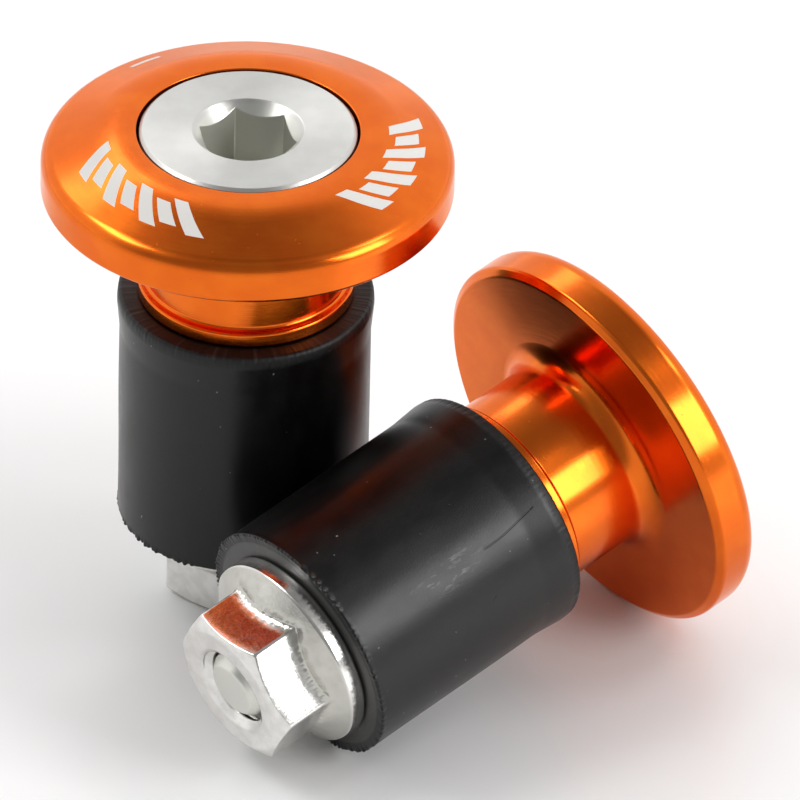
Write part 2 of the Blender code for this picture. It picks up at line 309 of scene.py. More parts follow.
# %% [markdown]
# ## Wavering edges
#
# A moulded or forged edge isn't a perfect circle. Random numbers for each point would look like static
# and leave a step where the turn closes. A sum of waves with whole numbers of periods round the plug
# wavers smoothly and closes on itself, and seeded phases make it the same on every run.

# %% Make a wavering line
def waver(angle, lowest, highest, seed):
    """Sum of cos(n angle + phase) for n from lowest to highest, each over sqrt(n), scaled to reach 1."""
    numbers = np.arange(lowest, highest + 1)
    phases = np.random.default_rng(seed).uniform(0, math.tau, len(numbers))
    waves = np.cos(numbers[:, None] * angle[None, :] + phases[:, None]) / np.sqrt(numbers[:, None])
    total = waves.sum(0)
    return total / np.abs(total).max()


print("a waver of 2 to 9 waves starts at", round(float(waver(even_angles(360), 2, 9, 1)[0]), 3))

# %% [markdown]
# ## The end cap
#
# The cap is what stays in sight at the end of a bar: one piece, turned on a lathe. From the head outwards
# it has a narrow flat ring, a shallow cone that falls about 22 degrees, a rounded rim, a straight band, a
# small bevel, the flat underside that meets the bar, a neck with a fillet at its root, and a collar that
# presses on the bung. A profile with a Screw modifier would do, but here the wide soft crown and the
# sharp little bevel each need their own radius, so it is an outline with rounded corners.

# %% Shape the end cap
CAP_FACE = FACE_LEVEL - 0.06     # the ring lies a hair below the screw head
CAP_RING_R = 9.55
CONE_DROP = 1.85                 # how far the cone falls to where it would meet the band
BEVEL_UP = 0.4
BEVEL_IN = 0.55
SHOULDER = COLLAR_LEVEL + 1.05
CAP_BORE_R = 4.95                # round the screw's thick shank
CAP_STEP = -3.3                  # where that bore narrows to the thread's
THREAD_CLEARANCE = 0.35
SEAT_DROP = 1.03                 # how far below the face the countersink starts


def cap_outline():
    """The cap's closed outline: from the recess outwards, down the outside and up through the bore."""
    recess_r = HEAD_R + HEAD_GAP
    seat = FACE_LEVEL - SEAT_DROP
    bore_r = THREAD_R + THREAD_CLEARANCE
    return rounded_outline([
        (recess_r, CAP_FACE, 0.07),
        (CAP_RING_R, CAP_FACE, 6.0),
        (FLANGE_R, CAP_FACE - CONE_DROP, 1.15),
        (FLANGE_R, BEVEL_UP, 0.35),
        (FLANGE_R - BEVEL_IN, 0.0, 0.35),
        (NECK_R, 0.0, 1.45),
        (NECK_R, SHOULDER, 0.3),
        (COLLAR_R, SHOULDER, 0.2),
        (COLLAR_R, COLLAR_LEVEL, 0.15),
        (bore_r, COLLAR_LEVEL, 0.1),
        (bore_r, CAP_STEP, 0.1),
        (CAP_BORE_R, CAP_STEP, 0.1),
        (CAP_BORE_R, seat - (recess_r - CAP_BORE_R), 0.1),
        (recess_r, seat, 0.1),
    ], closed=True)


def end_cap(prefix):
    """The outline turned round the axis: every ring is a circle."""
    outline = cap_outline()
    rings = rings_from(outline[:, :1], outline[:, 1:], even_angles(288))
    return skin(prefix + "_cap", rings, True, prefix)


print("the cap's outline has", len(cap_outline()), "points")

# %% [markdown]
# ## The cap screw
#
# Turning the screw draws the nut up. Its head is a flat disc with a small edge chamfer. The socket starts
# with a 45 degree countersink that runs into the six walls: it ends higher at the corners and lower at
# the flats, which gives the scalloped edge. The drill's round cone is left in the socket's floor. The
# lower shank carries a helical thread, which shows in the nut's mouth and stands out when the nut is
# drawn up. A picture of rings would pass for a thread from afar, but a true helix also keeps its place in
# the nut as the screw turns.

# %% Shape the cap screw
SOCKET_MOUTH_R = 3.84
SOCKET_DEPTH = 5.5
SOCKET_ROUND = 0.16
DRILL_R = 2.7
DRILL_DEEP = 1.0
HEAD_LAND = 0.95           # height of the head's straight edge
HEAD_CHAMFER = 0.2
SHANK_R = 4.74
SHANK_STEP = -3.0          # where the thick shank ends
THREAD_TOP_R = THREAD_R - 0.02
THREAD_DEPTH = 0.54
THREAD_TOP = NUT_BASE + NUT_TRAVEL + 2.0     # above the nut's own thread even when it is drawn up
THREAD_RUN_IN = 1.5
THREAD_STEP = 0.075
TIP_OUT = 0.4              # how much further out the tip is than the packed model's
TIP_R = 1.85
TIP_SLOPE = 0.9            # the tip's chamfer widens by this much a millimetre


def thread_wave(angle, level):
    """0 at the root and 1 at the crest of a right-hand thread: a clipped triangle wave of
    level / pitch - angle / whole turn."""
    turn = (level / PITCH - angle / math.tau) % 1.0
    return np.clip((1 - np.abs(2 * turn - 1)) * 1.5 - 0.25, 0, 1)


def cap_screw(prefix, socket_turn):
    """Rings from the drill cone up the socket, over the head, and down the shank and thread to the tip."""
    corner_angle = math.radians(socket_turn)
    angle = hexagon_angles(corner_angle, 0.05, 14)
    socket = hexagon_radius(angle, corner_angle, SOCKET_ACROSS, SOCKET_ROUND)
    floor = FACE_LEVEL - SOCKET_DEPTH
    lip = FACE_LEVEL - (SOCKET_MOUTH_R - socket)
    stack = Stack(angle)
    for share in (0.01, 0.4, 0.8, 0.98):
        stack.ring(DRILL_R * share, floor - DRILL_DEEP * (1 - share))
    stack.ring(DRILL_R, floor)
    stack.ring(DRILL_R + 0.04, floor)
    stack.ring(socket - 0.03, floor)
    stack.ring(socket, floor + 0.03)
    for share in (0.03, 0.3, 0.6, 0.9, 0.985):
        stack.ring(socket, floor + (lip - floor) * share)
    for share in (0.0, 0.06, 0.5, 0.94):
        stack.ring(socket + (SOCKET_MOUTH_R - socket) * share, lip + (FACE_LEVEL - lip) * share)
    stack.ring(SOCKET_MOUTH_R, FACE_LEVEL - 0.012)
    stack.ring(SOCKET_MOUTH_R + 0.03, FACE_LEVEL)
    head = rounded_outline([
        (SOCKET_MOUTH_R + 0.06, FACE_LEVEL, 0),
        (HEAD_R - 0.22, FACE_LEVEL, 0.05),
        (HEAD_R, FACE_LEVEL - HEAD_CHAMFER, 0.05),
        (HEAD_R, FACE_LEVEL - HEAD_LAND, 0.1),
        (SHANK_R, FACE_LEVEL - HEAD_LAND - (HEAD_R - SHANK_R), 0.1),
        (SHANK_R, SHANK_STEP, 0.2),
        (THREAD_TOP_R, SHANK_STEP, 0.2),
        (THREAD_TOP_R, THREAD_TOP, 0),
    ], closed=False)
    for radius, level in head:
        stack.ring(radius, level)
    tip = SCREW_TIP - TIP_OUT
    steps = np.arange(THREAD_TOP - THREAD_STEP, tip + 0.03, -THREAD_STEP)
    crest = np.minimum(THREAD_TOP_R, TIP_R + 0.04 + np.abs(steps - tip) * TIP_SLOPE)
    run_in = np.clip((THREAD_TOP - steps) / THREAD_RUN_IN, 0, 1)
    for level, top, part in zip(steps, crest, run_in):
        groove = THREAD_DEPTH * part * (1 - thread_wave(angle, level))
        stack.ring(np.maximum(np.minimum(top, THREAD_TOP_R - groove), TIP_R + 0.03), level)
    for radius in (TIP_R, TIP_R - 0.08, 1.2):
        stack.ring(radius, tip)
    return stack.skin(prefix + "_screw", False, prefix)


print("thread from", round(THREAD_TOP, 2), "to", round(SCREW_TIP - TIP_OUT, 2), "mm")

# %% [markdown]
# ## The rubber bung
#
# A thick tube of black rubber, cut from a moulded length, which swells and grips the bar when it is
# squeezed. Its lip at the cap end is pressed outwards and is rough with short strokes; the other end has
# a ragged edge with bits of flash. A bump map could fake both, but the ragged end is seen in outline, so
# they are worked into the outline's radius as a function of the angle.

# %% Shape the rubber bung
BUNG_EDGE = 0.16
BUNG_ANGLES = 960
BUNG_BORE_R = THREAD_R + 0.4
LIP_RINGS = (7.0, 7.7, 8.1)      # radii of extra rings on each end face, where the wavering fades out
END_RINGS = (8.3, 8.0, 7.0)
LIP_DROP = 0.85                  # from the end face to the lip's widest place
FLARE = 3.0                      # from the end face to the plain tube
FLASH_OUT = 0.15                 # how far the torn flash stands out at the nut end
FLASH_DOWN = 0.09


def bell(z, middle, width):
    """exp(-((z - middle) / width) squared): 1 at the middle level and fading to both sides."""
    return np.exp(-(((z - middle) / width) ** 2))


def rubber_bung(prefix, seed):
    """The outline turned round the axis, with its radius and level shifted near both ends by wavers."""
    angle = even_angles(BUNG_ANGLES)
    outline = rounded_outline([
        (BUNG_BORE_R, BUNG_TOP, 0.1),
        *[(radius, BUNG_TOP, 0) for radius in LIP_RINGS],
        (LIP_R - 0.13, BUNG_TOP, 0.3),
        (LIP_R - 0.05, BUNG_TOP - LIP_DROP, 1.6),
        (BUNG_R, BUNG_TOP - FLARE, 6.0),
        (BUNG_R, BUNG_BOTTOM, BUNG_EDGE),
        *[(radius, BUNG_BOTTOM, 0) for radius in END_RINGS],
        (BUNG_BORE_R, BUNG_BOTTOM, 0.1),
    ], closed=True)
    side = np.linspace(BUNG_TOP - 4.0, BUNG_BOTTOM + 1.4, 20)
    end = np.linspace(BUNG_BOTTOM + 1.2, BUNG_BOTTOM + BUNG_EDGE + 0.04, 10)
    straight = np.concatenate([side, end])
    cut = np.flatnonzero((outline[:-1, 1] > side[0]) & (outline[1:, 1] < end[-1]))[0]
    added = np.column_stack([np.full(len(straight), BUNG_R), straight])
    outline = np.vstack([outline[: cut + 1], added, outline[cut + 1 :]])
    r, z = outline[:, :1], outline[:, 1:]
    outer = np.clip((r - 6.0) / 2.0, 0, 1)
    near_lip = bell(z, BUNG_TOP - 0.35, 0.4) * np.clip((r - 8.1) / 0.4, 0, 1)
    near_end = bell(z, BUNG_BOTTOM, 0.22) * np.clip((r - BUNG_R + 0.35) / 0.2, 0, 1)
    lip = 0.03 * waver(angle, 2, 9, seed) + 0.022 * waver(angle, 60, 170, seed + 1)
    torn = np.clip(0.5 + waver(angle, 40, 170, seed + 2), 0, 1)
    torn = torn * np.clip(0.9 + waver(angle, 5, 20, seed + 3), 0, 1.2)
    slow = 0.02 * waver(angle, 2, 6, seed + 4) * outer * np.sin(z * 0.5)
    radius = r + near_lip * (lip - 0.02) + near_end * (FLASH_OUT * torn - 0.02) + slow
    level = z - near_end * FLASH_DOWN * torn + near_lip * 0.02 * waver(angle, 50, 180, seed + 5)
    rings = rings_from(np.minimum(radius, LIP_R), np.minimum(level, BUNG_TOP), angle)
    return skin(prefix + "_bung", rings, True, prefix)


print("the bung is", round(BUNG_TOP - BUNG_BOTTOM, 2), "mm long with", BUNG_ANGLES, "angles")

# %% [markdown]
# ## The flange nut
#
# The nut presses on the bung. It is forged: a round flange with a cone on it, six flats that run down
# into the cone, and a 30 degree chamfer that turns the end of each flat into an arc. The cone meets the
# flats in a rough raised line where the forging die closed. Cutting a hexagon with a cone would give the
# arcs as well, but as rings the arc is only a level that depends on the hexagon's radius, and the rough
# line is one more ring. The thread follows the same helix as the screw's, a little larger, so the two
# stay in mesh.

# %% Shape the flange nut
NUT_FACE_R = 4.75
NUT_MOUTH_R = 3.34
NUT_ROUND = 0.28
NUT_CHAMFER = math.radians(30)
NUT_EDGE_R = NUT_FLANGE_R - 0.02
NUT_FLANGE_EDGE = 1.3      # height of the flange's straight edge
NUT_CONE_R = 5.3           # the cone's small end
NUT_CONE_DROP = 1.3
FOOT_BLEND = 0.34          # from the cone's foot to the clean flat
MOUTH_SLOPE = 1.4
NUT_THREAD_R = THREAD_R + 0.06
NUT_THREAD_DEPTH = THREAD_DEPTH * 0.8


def flange_nut(prefix, corner_turn, seed):
    """Rings from the mouth at the bung's side out over the flange, along the cone and the flats, over the
    chamfer and the end face, and back through the thread."""
    corner_angle = math.radians(corner_turn)
    angle = hexagon_angles(corner_angle, 0.06, 44)
    hexa = hexagon_radius(angle, corner_angle, NUT_ACROSS, NUT_ROUND)
    edge = NUT_BASE - NUT_FLANGE_EDGE
    stack = Stack(angle)
    flange = rounded_outline([
        (NUT_MOUTH_R, NUT_BASE, 0),
        (NUT_EDGE_R, NUT_BASE, 0.22),
        (NUT_EDGE_R, edge, 0.3),
        (NUT_CONE_R, edge - NUT_CONE_DROP, 0),
    ], closed=False)
    wobble = 0.03 * waver(angle, 3, 14, seed)
    for radius, level in flange[:-1]:
        rim = np.clip((radius - 6.0) / 1.0, 0, 1)
        sag = 0.4 * wobble * rim * (level < NUT_BASE - 0.4)
        stack.ring(radius + wobble * rim - 0.03 * rim, level + sag)
    start_r, start_z = flange[-2]
    slope = NUT_CONE_DROP / (NUT_EDGE_R - NUT_CONE_R)
    foot = start_z - (start_r - hexa) * slope
    burr = 0.08 + 0.05 * waver(angle, 30, 110, seed + 1) + 0.04 * waver(angle, 8, 30, seed + 2)
    ragged = 0.03 * waver(angle, 40, 120, seed + 3)
    for out, drop, lift in ((0.9, 0, 0), (0.36, 0, 0.1), (0.24, 0, 1.0), (0.1, 0.04, 1.1)):
        stack.ring(hexa + out + ragged * lift, foot + out * slope + burr * lift - drop)
    stack.ring(hexa + 0.03 + 0.3 * burr, foot - 0.16)
    foot = foot - FOOT_BLEND
    stack.ring(hexa, foot)
    top = NUT_END + (hexa - NUT_FACE_R) * math.tan(NUT_CHAMFER)
    for share in (0.2, 0.5, 0.8, 0.97):
        stack.ring(hexa, foot + (top - foot) * share)
    stack.ring(hexa - 0.02, top - 0.02)
    for share in (0.12, 0.5, 0.88):
        stack.ring(hexa + (NUT_FACE_R - hexa) * share, top + (NUT_END - top) * share)
    for radius in (NUT_FACE_R, NUT_FACE_R - 0.1, NUT_MOUTH_R + 0.12):
        stack.ring(radius, NUT_END)
    stack.ring(NUT_MOUTH_R, NUT_END + 0.015)
    steps = np.linspace(NUT_END + 0.1, NUT_BASE - 0.1, 72)
    mouth = NUT_MOUTH_R - MOUTH_SLOPE * np.minimum(steps - NUT_END, NUT_BASE - steps)
    for level, widest in zip(steps, mouth):
        thread = NUT_THREAD_R - NUT_THREAD_DEPTH * (1 - thread_wave(angle, level))
        stack.ring(np.maximum(thread, widest), level)
    return stack.skin(prefix + "_nut", True, prefix)


print("the nut is", round(NUT_BASE - NUT_END, 2), "mm tall and", round(2 * NUT_FLANGE_R, 2), "mm wide")

# %% [markdown]
# ## Make the eight pieces
#
# Each piece stands for one CAD node and rides on that node's body. The bungs shorten towards their
# collars when the nuts are drawn up; here each bung only gets a mesh of its own. A loop over the two
# plugs makes all eight, and only the turns of nut and socket and the seeds of the wavering edges differ.

# %% Build both plugs
turns = {"standing": {"nut": 25.7, "socket": -14.0}, "lying": {"nut": 2.7, "socket": 10.0}}    # degrees
pieces = {}
for number, prefix in enumerate(("standing", "lying")):
    origin, turn = places[prefix]
    made = {
        "end_cap": (end_cap(prefix), "plug"),
        "cap_screw": (cap_screw(prefix, turns[prefix]["socket"]), "screw"),
        "rubber_bung": (rubber_bung(prefix, 11 + 20 * number), "plug"),
        "flange_nut": (flange_nut(prefix, turns[prefix]["nut"], 17 + 20 * number), "nut"),
    }
    for node, (piece, body) in made.items():
        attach(piece, f"{prefix}_{body}")
        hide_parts(f"{prefix}_{node}")
        pieces[prefix, node] = piece
    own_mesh(made["rubber_bung"][0])

# %% [markdown]
# ## Sums over place, as shader nodes
#
# A finish is made of small sums over where a point lies, such as how far it is from the axis. Each step
# is a node. Placing nodes by hand takes several lines each and hides the sum, so each call here adds one
# node, fills its inputs with numbers or links and hands back its output.

# %% Wrap the shader nodes
class Nodes:
    """A node tree with a short call for each kind of node. A value is a number, a colour or an output."""

    def __init__(self, tree):
        self.tree = tree

    def put(self, value, socket):
        """Links an output to the socket, or sets the socket to a number or a colour."""
        if isinstance(value, bpy.types.NodeSocket):
            self.tree.links.new(value, socket)
        else:
            socket.default_value = (*value, 1.0) if isinstance(value, tuple) else value

    def fill(self, node, **values):
        """Fills a node's inputs by name. An underscore stands for a space."""
        for label, value in values.items():
            self.put(value, node.inputs[label.replace("_", " ")])

    def add(self, kind, **values):
        node = self.tree.nodes.new("ShaderNode" + kind)
        self.fill(node, **values)
        return node

    def math(self, operation, *values):
        node = self.add("Math")
        node.operation = operation
        for value, socket in zip(values, node.inputs):
            self.put(value, socket)
        return node.outputs[0]

    def times(self, first, *others):
        """All the values multiplied together."""
        for other in others:
            first = self.math("MULTIPLY", first, other)
        return first

    def away(self, value, middle):
        """The distance between value and middle, never negative."""
        return self.math("ABSOLUTE", self.math("SUBTRACT", value, middle))

    def length(self, x, y):
        """The square root of x x + y y."""
        return self.math("SQRT", self.math("ADD", self.times(x, x), self.times(y, y)))

    def combine(self, x, y, z):
        return self.add("CombineXYZ", X=x, Y=y, Z=z).outputs[0]

    def noise(self, vector, scale, detail=2.0, roughness=0.5):
        node = self.add("TexNoise", Vector=vector, Scale=scale, Detail=detail, Roughness=roughness)
        return node.outputs["Fac"]

    def between(self, value, low, high, to_low=0.0, to_high=1.0):
        """value carried from low..high to to_low..to_high with a smooth ease and clamped."""
        node = self.add("MapRange", Value=value, From_Min=low, From_Max=high, To_Min=to_low, To_Max=to_high)
        node.interpolation_type = "SMOOTHSTEP"
        return node.outputs[0]

    def within(self, value, edge, soft):
        """1 where value is under the edge and 0 over it, fading from edge - soft to edge + soft."""
        return self.between(value, edge + soft, edge - soft)

    def blend(self, share, first, second):
        """The first colour where share is 0 and the second where it is 1."""
        node = self.add("Mix")
        node.data_type = "RGBA"
        self.fill(node, Factor=share, A=first, B=second)
        return node.outputs["Result"]


print("node calls:", sorted(name for name in vars(Nodes) if not name.startswith("_")))

# %% [markdown]
# ## Patterns that follow the lathe
#
# Marks left by turning run round the axis. A UV map could carry them, but it would have to be unwrapped
# and would stretch over the crown. A material reads Object coordinates instead: a Mapping node moves them
# into the plug's own place and millimetres, and the distance from the axis and the angle round it are
# worked out from there. Noise that changes fast with radius and level but slowly with angle looks like
# tool marks.

# %% Give a finish its plug's coordinates
SLOTS = {"end_cap": "anodised", "cap_screw": "screw", "rubber_bung": "rubber", "flange_nut": "nut"}


class Recipe(Nodes):
    """A material being mixed: its node tree, its shader and the plug's own coordinates."""

    def __init__(self, name, prefix):
        self.material = bpy.data.materials.new(name)
        self.material.use_nodes = True
        super().__init__(self.material.node_tree)
        self.shader = self.tree.nodes["Principled BSDF"]
        origin, turn = places[prefix]
        self.turn = Matrix(turn.tolist()).to_euler()
        mapping = self.add("Mapping", Vector=self.add("TexCoord").outputs["Object"])
        mapping.vector_type = "TEXTURE"
        self.fill(mapping, Location=origin, Rotation=self.turn, Scale=Vector((MM, MM, MM)))
        self.point = mapping.outputs["Vector"]
        x, y, self.level = self.add("SeparateXYZ", Vector=self.point).outputs
        self.radius = self.length(x, y)
        self.angle = self.math("ARCTAN2", y, x)
        self.around = self.combine(self.times(y, -1.0), x, 0.0)

    def set(self, **values):
        self.fill(self.shader, **values)

    def bump(self, heights):
        """Chains (height, strength, distance in mm) into one normal for the shader."""
        normal = None
        for height, strength, distance in heights:
            node = self.add("Bump", Strength=strength, Distance=distance * MM, Height=height)
            if normal is not None:
                self.fill(node, Normal=normal)
            normal = node.outputs["Normal"]
        self.set(Normal=normal)

    def brushed(self, strength):
        """Spreads reflections across the turning marks. The tangent runs round the axis, in the frame."""
        mapping = self.add("Mapping", Vector=self.around)
        mapping.vector_type = "VECTOR"
        self.fill(mapping, Rotation=self.turn)
        world = self.add("VectorTransform", Vector=mapping.outputs[0])
        world.vector_type = "VECTOR"
        world.convert_from, world.convert_to = "OBJECT", "WORLD"
        self.set(Tangent=world.outputs[0], Anisotropic=strength, Anisotropic_Rotation=0.25)

    def turning_marks(self, scale, along=0.35):
        """Noise that changes quickly with radius and level and slowly with angle."""
        place = self.combine(self.radius, self.level, self.times(self.angle, along))
        return self.noise(place, scale, 3.0)


print("slots:", sorted(SLOTS.values()))

# %% [markdown]
# ## Orange anodised aluminium
#
# Anodising grows a clear oxide skin on bright metal and dyes it, so the cap's reflections are orange.
# Plain metal turns white at a grazing angle, which would look pink here, so Specular Tint keeps the rim
# orange. A thin coat adds the oxide's own pale reflection. Orange paint would be simpler, but paint
# doesn't colour what it reflects. The face carries two groups of slanted bars etched through the dye
# down to pale metal, and a short streak coloured like them. A picture could hold them, but a sum over
# angle and radius stays sharp from any distance.

# %% Mix the anodised finish
ORANGE = (0.83, 0.155, 0.006)
DEEP_ORANGE = (0.78, 0.130, 0.004)
ETCHED = (0.62, 0.61, 0.59)
FIRST_GROUP = math.radians(-17)     # the angle in the middle of one group of bars
GROUP_HALF = 0.52                   # half a group, in radians
BARS = 7
BAR_HALF = 0.365                    # half a bar's width, as a share of a bar and a gap
BAR_SLANT = -0.075                  # how far a bar leans, in radians per millimetre
BAR_MIDDLE_R = 10.9
BAR_REACH = 1.25                    # from the middle to the end of a long bar
SHORTER = 0.45                      # how much less a short bar reaches
STREAK_R = 12.45
STREAK_ANGLE = 2.2


def etched_bars(mix):
    """1 inside the bars and 0 outside. The angle left over after whole thirds of a turn is cut into equal
    steps with a bar in each, every other one shorter. That gives three groups; the one on the far side is
    left out and has a short pale streak instead."""
    third = math.tau / 3
    turned = mix.math("ADD", mix.angle, math.tau - FIRST_GROUP)
    turned = mix.math("MODULO", mix.math("ADD", turned, third / 2), third)
    out = mix.math("SUBTRACT", mix.radius, BAR_MIDDLE_R)
    place = mix.math("ADD", mix.math("SUBTRACT", turned, third / 2), mix.times(out, BAR_SLANT))
    inside = mix.within(mix.math("ABSOLUTE", place), GROUP_HALF, 0.002)
    steps = mix.times(mix.math("ADD", place, GROUP_HALF), BARS / (2 * GROUP_HALF))
    bar = mix.within(mix.away(mix.math("FRACT", steps), 0.5), BAR_HALF, 0.01)
    short = mix.times(mix.math("MODULO", mix.math("FLOOR", steps), 2.0), SHORTER)
    band = mix.within(mix.math("ADD", mix.math("ABSOLUTE", out), short), BAR_REACH, 0.02)
    kept = mix.between(mix.away(mix.angle, FIRST_GROUP + third), 0.95, 1.0)
    marks = mix.times(inside, bar, band, kept)
    across = mix.within(mix.away(mix.radius, STREAK_R), 0.17, 0.05)
    streak = mix.times(across, mix.within(mix.away(mix.angle, STREAK_ANGLE), 0.095, 0.015))
    on_face = mix.between(mix.level, 1.0, 1.5)
    return mix.times(mix.math("MAXIMUM", marks, streak), on_face)


def orange_anodised(name, prefix):
    """Dyed metal: turning marks vary its roughness and normal, noise its dye, and a few specks dull it."""
    mix = Recipe(name, prefix)
    fine = mix.turning_marks(22.0)
    broad = mix.turning_marks(3.0, 0.15)
    cloudy = mix.noise(mix.point, 0.35, 3.0)
    specks = mix.between(mix.noise(mix.point, 5.5, 1.0), 0.78, 0.80)
    dye = mix.blend(mix.between(cloudy, 0.35, 0.65), DEEP_ORANGE, ORANGE)
    marks = etched_bars(mix)
    mix.set(Base_Color=mix.blend(marks, dye, ETCHED), Metallic=mix.between(marks, 0.0, 1.0, 1.0, 0.0))
    rough = mix.math("ADD", mix.between(fine, 0.3, 0.7, 0.17, 0.24), mix.times(specks, 0.25))
    mix.set(Roughness=mix.math("ADD", rough, mix.times(marks, 0.35)))
    mix.set(Coat_Weight=0.25, Coat_Roughness=0.16, Coat_IOR=1.5, Specular_Tint=(1.0, 0.80, 0.66))
    mix.brushed(0.35)
    mix.bump([(fine, 0.10, 0.02), (broad, 0.10, 0.05), (specks, 0.3, 0.02)])
    return mix.material


print("orange", ORANGE, "with", BARS, "bars in a group")

# %% [markdown]
# ## Satin silver
#
# The screw's head is satin metal with fine circles left by the lathe. They could be cut into the mesh,
# but they are too fine to see one by one: what shows is how they spread a reflection. So the shader's own
# anisotropy spreads it, and a little noise in roughness and bump breaks it up. The socket is painted
# paler, as painted light inside the recess.

# %% Mix the satin finish
SILVER = (0.61, 0.605, 0.58)
PALE_SILVER = (0.66, 0.655, 0.63)
SOCKET_PAINTED_LIGHT_SILVER = (0.70, 0.70, 0.65)


def satin_silver(name, prefix):
    """Silver that varies slightly, with painted light paler in the socket, and reflections spread across the
    circles.
    """
    mix = Recipe(name, prefix)
    fine = mix.turning_marks(18.0)
    cloudy = mix.noise(mix.point, 0.5, 3.0)
    colour = mix.blend(mix.between(cloudy, 0.3, 0.7), SILVER, PALE_SILVER)
    # Painted light: the socket is painted paler than the rest of the head.
    socket = mix.times(mix.within(mix.radius, 3.65, 0.1), mix.within(mix.level, 4.75, 0.15))
    mix.set(Base_Color=mix.blend(socket, colour, SOCKET_PAINTED_LIGHT_SILVER), Metallic=1.0)
    mix.set(Roughness=mix.between(fine, 0.3, 0.7, 0.32, 0.42))
    mix.brushed(0.6)
    mix.bump([(fine, 0.12, 0.02)])
    return mix.material


print("silver", SILVER, "and", SOCKET_PAINTED_LIGHT_SILVER, "in the socket")

# %% [markdown]
# ## Black rubber
#
# The bung is near-black rubber, dusty along its side, chalky on its cut end and rough at the lip. The
# lying one also has a chalky scuff, painted paler both as dust and as a painted highlight where its soft
# highlight falls, a long scratch and a nick. One even black would look like plastic. A picture could
# hold the marks, but noise over the bung's own angle and level stretches along it as real scuffs do,
# and each mark keeps a place in millimetres: an arc length round the bung and a level.

# %% Place the marks on the rubber
SCRATCHES = (
    (-14.6, -9.6, -5.30, -5.75, 0.12, 0.08),     # long and thin
    (-15.5, -15.0, -1.76, -2.00, 0.0, 0.15),     # a nick
)
SCUFF_SHEEN_ARC = -5.4
SCUFF_SHEEN_LEVEL = -17.6


def scratches(mix):
    """1 in each scratch (first level, last level, first arc, last arc, bend, half width): a point is in it
    when its arc length is close to first arc + share * (last arc - first arc) + bend * sin(4.2 share)."""
    arc = mix.times(mix.angle, BUNG_R)
    every = []
    for first_level, last_level, first_arc, last_arc, bend, half in SCRATCHES:
        share = mix.math("DIVIDE", mix.math("SUBTRACT", mix.level, first_level), last_level - first_level)
        line = mix.math("ADD", mix.times(share, last_arc - first_arc), first_arc)
        line = mix.math("ADD", line, mix.times(mix.math("SINE", mix.times(share, 4.2)), bend))
        near = mix.between(mix.away(arc, line), half, half * 0.3)
        every.append(mix.times(near, mix.between(mix.away(share, 0.5), 0.5, 0.42)))
    return mix.math("MAXIMUM", *every)


def scuff_and_sheen(mix):
    """Chalky streaks along the bung inside an oval, partly dust and partly a painted highlight: 1 in a
    streak, fading towards the oval's edge.
    """
    arc = mix.times(mix.angle, BUNG_R)
    along = mix.times(mix.math("SUBTRACT", mix.level, SCUFF_SHEEN_LEVEL), 0.42)
    far = mix.length(mix.math("SUBTRACT", arc, SCUFF_SHEEN_ARC), along)
    stretched = mix.combine(mix.times(arc, 1.7), mix.times(mix.level, 0.45), 0.0)
    streaks = mix.between(mix.noise(stretched, 1.3, 4.0, 0.65), 0.52, 0.66)
    return mix.times(streaks, mix.between(far, 1.7, 0.3))


print("scratches run over levels", [mark[:2] for mark in SCRATCHES])

# %% Mix the rubber finish
BLACK = (0.0012, 0.0011, 0.0011)
DUSTED = (0.0040, 0.0038, 0.0036)
CUT_FACE = (0.034, 0.033, 0.0325)
STROKED = (0.018, 0.018, 0.019)
CHALK_AND_SHEEN = (0.11, 0.112, 0.118)
MOTE = (0.16, 0.16, 0.16)


def black_rubber(name, prefix):
    """Black under dust on the side, a paler cut face, strokes at the lip, and single motes."""
    mix = Recipe(name, prefix)
    grain = mix.noise(mix.point, 9.0, 4.0, 0.6)
    long_way = mix.combine(mix.times(mix.angle, 6.0), mix.times(mix.level, 0.35), mix.radius)
    cloudy = mix.noise(long_way, 1.0, 5.0, 0.65)
    short_way = mix.combine(mix.times(mix.angle, 22.0), mix.times(mix.level, 1.2), 0.0)
    strokes = mix.noise(short_way, 1.0, 3.0)
    lip = mix.between(mix.level, BUNG_TOP - 0.9, BUNG_TOP - 0.3)
    lip = mix.times(lip, mix.between(mix.radius, 7.3, 7.8))
    end = mix.between(mix.level, BUNG_BOTTOM + 0.4, BUNG_BOTTOM + 0.15)
    torn = mix.times(end, mix.between(mix.radius, BUNG_R - 0.75, BUNG_R - 0.55))
    face = mix.times(end, mix.within(mix.radius, BUNG_R - 0.65, 0.1))
    raw = mix.math("MAXIMUM", lip, mix.times(torn, 0.35))
    dusty = mix.times(mix.between(cloudy, 0.42, 0.62), mix.between(grain, 0.35, 0.65))
    motes = mix.between(mix.noise(mix.point, 3.1, 0.0), 0.855, 0.87)
    colour = mix.blend(face, mix.blend(dusty, BLACK, DUSTED), CUT_FACE)
    colour = mix.blend(mix.times(raw, mix.between(strokes, 0.55, 0.75)), colour, STROKED)
    bumps = [(grain, 0.25, 0.03), (mix.times(strokes, raw), 0.6, 0.10)]
    if prefix == "lying":
        # Chalky scuff on the lying bung: partly dust, partly a painted highlight on its side.
        colour = mix.blend(scuff_and_sheen(mix), colour, CHALK_AND_SHEEN)
        bumps.append((mix.times(scratches(mix), -1.0), 0.5, 0.05))
    rough = mix.math("ADD", mix.between(cloudy, 0.35, 0.65, 0.30, 0.35), mix.times(raw, 0.2))
    mix.set(Base_Color=mix.blend(motes, colour, MOTE), Roughness=rough, Specular_IOR_Level=0.38)
    mix.bump(bumps)
    return mix.material


print("black", BLACK, "with the cut face", CUT_FACE)

